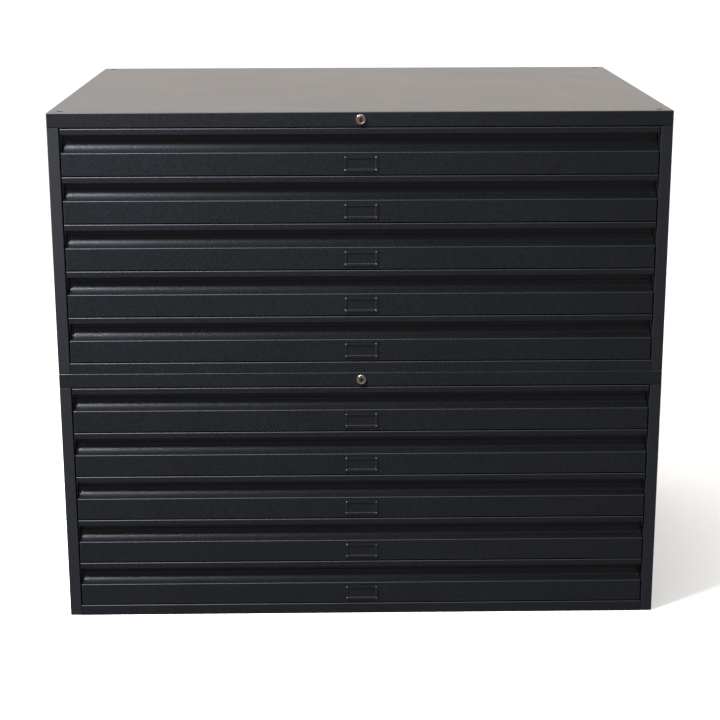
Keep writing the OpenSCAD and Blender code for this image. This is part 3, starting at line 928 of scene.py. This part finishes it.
class PLANCHEST_OT_slides(bpy.types.Operator):
    """Roll the middle members of each drawer's two slides"""

    bl_idname = "planchest.slides"
    bl_label = "Slide Members"

    def execute(self, context):
        s = context.scene.plan_chest_sizes
        low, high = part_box(f"{DRAWERS[0]}_slides")
        opening = FRONT_HW + s.side_gap
        first = DRAWER_Z[DRAWERS[0]]
        inner_gap = 1.5 * MM
        bm = new_sheet()
        channels(bm, s, opening - s.slide_w + inner_gap, high.x, low.z - first, high.z - first,
                 low.y - FRONT_Y, high.y - FRONT_Y, web_out=True)
        for drawer in DRAWERS:
            piece(f"{drawer}_slides_rolled", bm, drawer_offset(drawer), f"{drawer}_slides",
                  sheet=s.slide_sheet, soften=s.edge_round)
        bm.free()
        return {"FINISHED"}


class PLANCHEST_OT_slide_rails(bpy.types.Operator):
    """Fold the uprights inside each cabinet and roll the cabinet members of its slides"""

    bl_idname = "planchest.slide_rails"
    bl_label = "Slide Rails"

    def execute(self, context):
        s = context.scene.plan_chest_sizes
        opening = FRONT_HW + s.side_gap
        low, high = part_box("lower_slide_rails")
        y_low, y_high = low.y - FRONT_Y, high.y - FRONT_Y
        first = DRAWER_Z[DRAWERS[0]]
        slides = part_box(f"{DRAWERS[0]}_slides")
        z_low, z_high = slides[0].z - first - SLIDE_STEP, slides[1].z - first + SLIDE_STEP
        mouth = opening - 0.75 * s.slide_w
        members, posts = new_sheet(), new_sheet()
        for drawer in [d for d in DRAWERS if d.startswith("lower")]:
            rise = DRAWER_Z[drawer] - UNIT_Z["lower"]
            channels(members, s, mouth, opening, rise + z_low, rise + z_high, y_low, y_high, web_out=True)
        upright_w = 40 * MM
        web_x = opening + SHIM
        wall_x = HALF_W - SHEET
        for y in (y_low, y_high - upright_w):
            for side in (1, -1):
                path = [(side * wall_x, y), (side * web_x, y), (side * web_x, y + upright_w),
                        (side * wall_x, y + upright_w)]
                strip(posts, "Z", low.z, high.z, path, [(s.fold_radius, 3)] * 2, -Y)
        for unit in UNITS:
            piece(f"{unit}_slide_members_rolled", members, unit_offset(unit), f"{unit}_slide_rails",
                  sheet=s.slide_sheet, soften=s.edge_round)
            piece(f"{unit}_uprights_folded", posts, unit_offset(unit), f"{unit}_slide_rails",
                  sheet=SHEET, soften=s.edge_round)
        members.free()
        posts.free()
        return {"FINISHED"}


# ---------- locks and fasteners ----------

class PLANCHEST_OT_locks(bpy.types.Operator):
    """Turn each lock's barrel, its nut and its plug with the keyway and cam"""

    bl_idname = "planchest.locks"
    bl_label = "Locks"

    def execute(self, context):
        for unit in UNITS:
            low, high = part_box(f"{unit}_lock_barrel")
            plug_low, plug_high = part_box(f"{unit}_lock_plug")
            centre = Vector((0.0, FRONT_Y, (low.z + high.z) / 2))
            barrel = self.barrel(low.y - FRONT_Y, high.y - FRONT_Y)
            piece(f"{unit}_lock_barrel_turned", barrel, centre, f"{unit}_lock_barrel", soften=0.1 * MM)
            barrel.free()
            plug = self.plug(plug_low.y - FRONT_Y, plug_high.y - FRONT_Y)
            piece(f"{unit}_lock_plug_turned", plug, centre, f"{unit}_lock_plug", soften=0.08 * MM,
                  finish="lock_plug")
            plug.free()
        return {"FINISHED"}

    def barrel(self, front, back):
        """Headed barrel with a dished face, a threaded body and a hexagonal nut."""
        head, neck, bore = 8 * MM, 7 * MM, 4.55 * MM
        thread = [(neck - (0.35 * MM if i % 2 else 0.0), 6 * MM + i * 0.5 * MM) for i in range(25)]
        dish = [(bore, front + 0.7 * MM), (bore + 0.5 * MM, front + 0.55 * MM),
                (6.1 * MM, front + 0.35 * MM), (6.5 * MM, front + 0.04 * MM), (6.8 * MM, front)]
        shoulder = [(7.2 * MM, front + 0.06 * MM), (7.6 * MM, front + 0.3 * MM),
                    (7.9 * MM, front + 0.75 * MM), (head, front + 1.2 * MM)]
        body = [(head, 0.0), (neck, 0.0), (neck, 5.5 * MM)] + thread
        end = [(neck, back - 0.5 * MM), (neck - 0.5 * MM, back), (bore, back)]
        bm = turned(dish + shoulder + body + end, steps=56)
        nut_in, nut_out, nut_back = neck + 0.05 * MM, 10.2 * MM, SHEET + 4 * MM
        nut = turned([(nut_in, SHEET), (nut_out, SHEET), (nut_out, nut_back), (nut_in, nut_back)],
                     steps=6)
        add_mesh(bm, nut)
        return bm

    def plug(self, front, back):
        """Plug with its keyway, and the cam disc and pin behind it."""
        radius, key_depth = 4.5 * MM, 12 * MM
        cam_r, cam_t, pin_r, pin_len, pin_throw = 8 * MM, 2 * MM, 2 * MM, 5 * MM, 4 * MM
        rounded = 0.3 * MM
        cam_y = back - pin_len - cam_t
        bm = new_sheet()
        disc = bmesh.ops.create_circle(bm, cap_ends=False, radius=radius, segments=40,
                                       matrix=Matrix.Translation((0, front, 0)) @ Matrix.Rotation(
                                           math.pi / 2, 4, "X"))["verts"]
        rim = list({e for v in disc for e in v.link_edges})
        slot = self.keyway(bm, front)
        bmesh.ops.triangle_fill(bm, use_beauty=True, use_dissolve=False, edges=rim + slot, normal=-Y)
        bm.normal_update()
        bmesh.ops.reverse_faces(bm, faces=[f for f in bm.faces if f.normal.y > 0])
        end = pull_out(bm, slot, key_depth * Y)
        bmesh.ops.contextual_create(bm, geom=end)
        tail = pull_out(bm, rim, (cam_y - front) * Y)
        bmesh.ops.contextual_create(bm, geom=tail)
        bmesh.ops.recalc_face_normals(bm, faces=bm.faces)
        for x, z, r, start, stop in ((0, 0, cam_r, cam_y, cam_y + cam_t),
                                     (pin_throw, -pin_throw, pin_r, cam_y + cam_t, back)):
            part = turned([(0, start), (r - rounded, start), (r, start + rounded), (r, stop - rounded),
                           (r - rounded, stop), (0, stop)], steps=32)
            bmesh.ops.translate(part, verts=part.verts, vec=(x, 0, z))
            add_mesh(bm, part)
        return bm

    def keyway(self, bm, front):
        """Outline of the keyway: an upright slot with a ward at one side."""
        half_w, half_h, ward = 1.1 * MM, 3.2 * MM, 0.7 * MM
        points = [(-half_w, -half_h), (half_w, -half_h), (half_w, -0.6 * MM), (half_w - ward, -0.3 * MM),
                  (half_w - ward, 0.6 * MM), (half_w, 0.9 * MM), (half_w, half_h), (-half_w, half_h)]
        verts = [bm.verts.new((x, front, z)) for x, z in points]
        return [bm.edges.new(pair) for pair in zip(verts, verts[1:] + verts[:1])]


class PLANCHEST_OT_inserts(bpy.types.Operator):
    """Turn the threaded inserts in the corners of both top panels"""

    bl_idname = "planchest.inserts"
    bl_label = "Threaded Inserts"

    def execute(self, context):
        bore, body, edge = 4.05 * MM, 6 * MM, 0.15 * MM
        depth, collar_top, collar_low = 10 * MM, SHEET, SHEET + 3 * MM
        ridge, half_pitch, lead_in = 0.35 * MM, 0.625 * MM, 0.7 * MM
        teeth = [(bore + (0.0 if i % 2 else ridge), lead_in + i * half_pitch) for i in range(14)]
        profile = [(bore + lead_in, 0.0)] + teeth + [
            (bore, depth), (body, depth), (body, collar_low), (COLLAR, collar_low), (COLLAR, collar_top),
            (body, collar_top), (body, edge), (body - edge, 0.0)]
        bm = new_sheet()
        for unit in UNITS:
            for point in stack_points():
                single = turned(profile, steps=32)
                down = Matrix.Rotation(-math.pi / 2, 4, "X")
                bmesh.ops.transform(single, matrix=down, verts=single.verts)
                bmesh.ops.translate(single, verts=single.verts, vec=point + (UNIT_Z[unit] + UNIT_H) * Z)
                add_mesh(bm, single)
        piece("threaded_inserts_turned", bm, FRONT_Y * Y, "threaded_inserts", finish="insert")
        bm.free()
        return {"FINISHED"}


class PLANCHEST_OT_hidden_metal(bpy.types.Operator):
    """Give the locking bars and the stacking bolts their metals"""

    bl_idname = "planchest.hidden_metal"
    bl_label = "Locking Bars and Bolts"

    def execute(self, context):
        for node in ("upper_lock_bar", "lower_lock_bar", "stacking_bolts"):
            made = frame["nodes"][node]
            made.data.materials.clear()
            made.data.materials.append(finish_of(NODE_SLOT[node]))
        return {"FINISHED"}


# ---------- stage ----------

class PLANCHEST_OT_stage(bpy.types.Operator):
    """Set the pale floor, the soft lights, the backdrop and the camera"""

    bl_idname = "planchest.stage"
    bl_label = "Stage"

    def execute(self, context):
        scene = context.scene
        studio = scene.plan_chest_studio
        self.floor(studio, tuple(scene.plan_chest_finishes.floor))
        self.world(scene, studio)
        self.lights(studio)
        self.camera(scene, studio)
        scene.view_settings.view_transform = "Standard"
        return {"FINISHED"}

    def floor(self, studio, base):
        bm = bmesh.new()
        drop = 0.2 * MM
        bmesh.ops.create_grid(bm, x_segments=1, y_segments=1, size=studio.floor_size / 2,
                              matrix=Matrix.Translation((0, 0, -drop)))
        mesh = bpy.data.meshes.new("studio_floor")
        bm.to_mesh(mesh)
        bm.free()
        mesh.materials.append(painted_floor("matt_emulsion", base))
        floor = bpy.data.objects.new("studio_floor", mesh)
        bpy.context.scene.collection.objects.link(floor)
        floor.visible_diffuse = False
        floor.visible_glossy = False

    def world(self, scene, studio):
        """White to the eye; as light, bright behind and over the object and dimmer in front of it."""
        world = bpy.data.worlds.new("studio")
        scene.world = world
        world.use_nodes = True
        tree = world.node_tree
        tree.nodes.clear()
        place = add_node(tree, "ShaderNodeTexCoord")
        parts = add_node(tree, "ShaderNodeSeparateXYZ", Vector=(place, "Generated"))
        warm, white = (1.0, 0.925, 0.86, 1.0), (1.0, 1.0, 1.0, 1.0)
        behind = ramp(tree, (parts, "Y"), [(0.0, tuple(studio.front_tint)), (0.55, warm)])
        overhead = ramp(tree, (parts, "Z"), [(0.72, 0.0), (0.97, 1.0)])
        back_light = add_node(tree, "ShaderNodeBackground", Color=(behind, "Color"),
                              Strength=studio.back_level)
        top_light = add_node(tree, "ShaderNodeBackground", Color=(overhead, "Color"),
                             Strength=studio.top_level)
        light = add_node(tree, "ShaderNodeAddShader", i0=(back_light, "Background"),
                         i1=(top_light, "Background"))
        seen = add_node(tree, "ShaderNodeBackground", Color=white, Strength=1.0)
        ray = add_node(tree, "ShaderNodeLightPath")
        mix = add_node(tree, "ShaderNodeMixShader", Fac=(ray, "Is Camera Ray"), i1=(light, "Shader"),
                       i2=(seen, "Background"))
        add_node(tree, "ShaderNodeOutputWorld", Surface=(mix, "Shader"))

    def lights(self, studio):
        aim = Vector((-HALF_W, FRONT_Y, CAD_HIGH.z / 2))
        spot = Vector((studio.key_side, FRONT_Y - studio.key_ahead, studio.key_up))
        lamp = bpy.data.lights.new("key_softbox", "AREA")
        lamp.shape = "RECTANGLE"
        lamp.size = studio.key_width
        lamp.size_y = studio.key_length
        lamp.spread = studio.key_spread
        lamp.energy = studio.key_power
        lamp.color = tuple(studio.key_tint)[:3]
        made = bpy.data.objects.new("key_softbox", lamp)
        made.location = spot
        made.rotation_mode = "QUATERNION"
        made.rotation_quaternion = (aim - spot).to_track_quat("-Z", "Y")
        bpy.context.scene.collection.objects.link(made)

    def camera(self, scene, studio):
        data = bpy.data.cameras.new("camera")
        data.lens = studio.lens
        data.sensor_width = 36.0
        data.clip_start = 0.05
        data.clip_end = 100.0
        camera = bpy.data.objects.new("camera", data)
        camera.location = (studio.camera_side, FRONT_Y - studio.camera_back, studio.camera_up)
        turn = (Matrix.Rotation(-studio.camera_yaw, 4, "Z")
                @ Matrix.Rotation(math.pi / 2 - studio.camera_pitch, 4, "X")
                @ Matrix.Rotation(-studio.camera_roll, 4, "Z"))
        camera.rotation_euler = turn.to_euler()
        scene.collection.objects.link(camera)
        scene.camera = camera


# ---------- add-on ----------

OPERATORS = (
    PLANCHEST_OT_top_panels,
    PLANCHEST_OT_side_panels,
    PLANCHEST_OT_back_panels,
    PLANCHEST_OT_base_panels,
    PLANCHEST_OT_drawer_fronts,
    PLANCHEST_OT_drawer_trays,
    PLANCHEST_OT_label_holders,
    PLANCHEST_OT_slides,
    PLANCHEST_OT_slide_rails,
    PLANCHEST_OT_locks,
    PLANCHEST_OT_inserts,
    PLANCHEST_OT_hidden_metal,
    PLANCHEST_OT_stage,
)


class PLANCHEST_PT_panel(bpy.types.Panel):
    """Sizes, finishes and the steps that build the chests"""

    bl_idname = "PLANCHEST_PT_panel"
    bl_label = "Plan Chests"
    bl_space_type = "VIEW_3D"
    bl_region_type = "UI"
    bl_category = "Plan Chests"

    def draw(self, context):
        scene = context.scene
        for title, group in (("Sizes", scene.plan_chest_sizes), ("Finishes", scene.plan_chest_finishes),
                             ("Studio", scene.plan_chest_studio)):
            box = self.layout.box()
            box.label(text=title)
            for name in group.bl_rna.properties.keys():
                if name not in ("rna_type", "name"):
                    box.prop(group, name)
        column = self.layout.column(align=True)
        for operator in OPERATORS:
            column.operator(operator.bl_idname)


GROUPS = {
    "plan_chest_sizes": PlanChestSizes,
    "plan_chest_finishes": PlanChestFinishes,
    "plan_chest_studio": PlanChestStudio,
}


def register():
    for name, group in GROUPS.items():
        bpy.utils.register_class(group)
        setattr(bpy.types.Scene, name, PointerProperty(type=group))
    for operator in OPERATORS:
        bpy.utils.register_class(operator)
    bpy.utils.register_class(PLANCHEST_PT_panel)


def unregister():
    bpy.utils.unregister_class(PLANCHEST_PT_panel)
    for operator in reversed(OPERATORS):
        bpy.utils.unregister_class(operator)
    for name, group in GROUPS.items():
        delattr(bpy.types.Scene, name)
        bpy.utils.unregister_class(group)


def main():
    register()
    for operator in OPERATORS:
        step = getattr(bpy.ops.planchest, operator.bl_idname.split(".")[1])
        step()


if __name__ == "__main__":
    main()
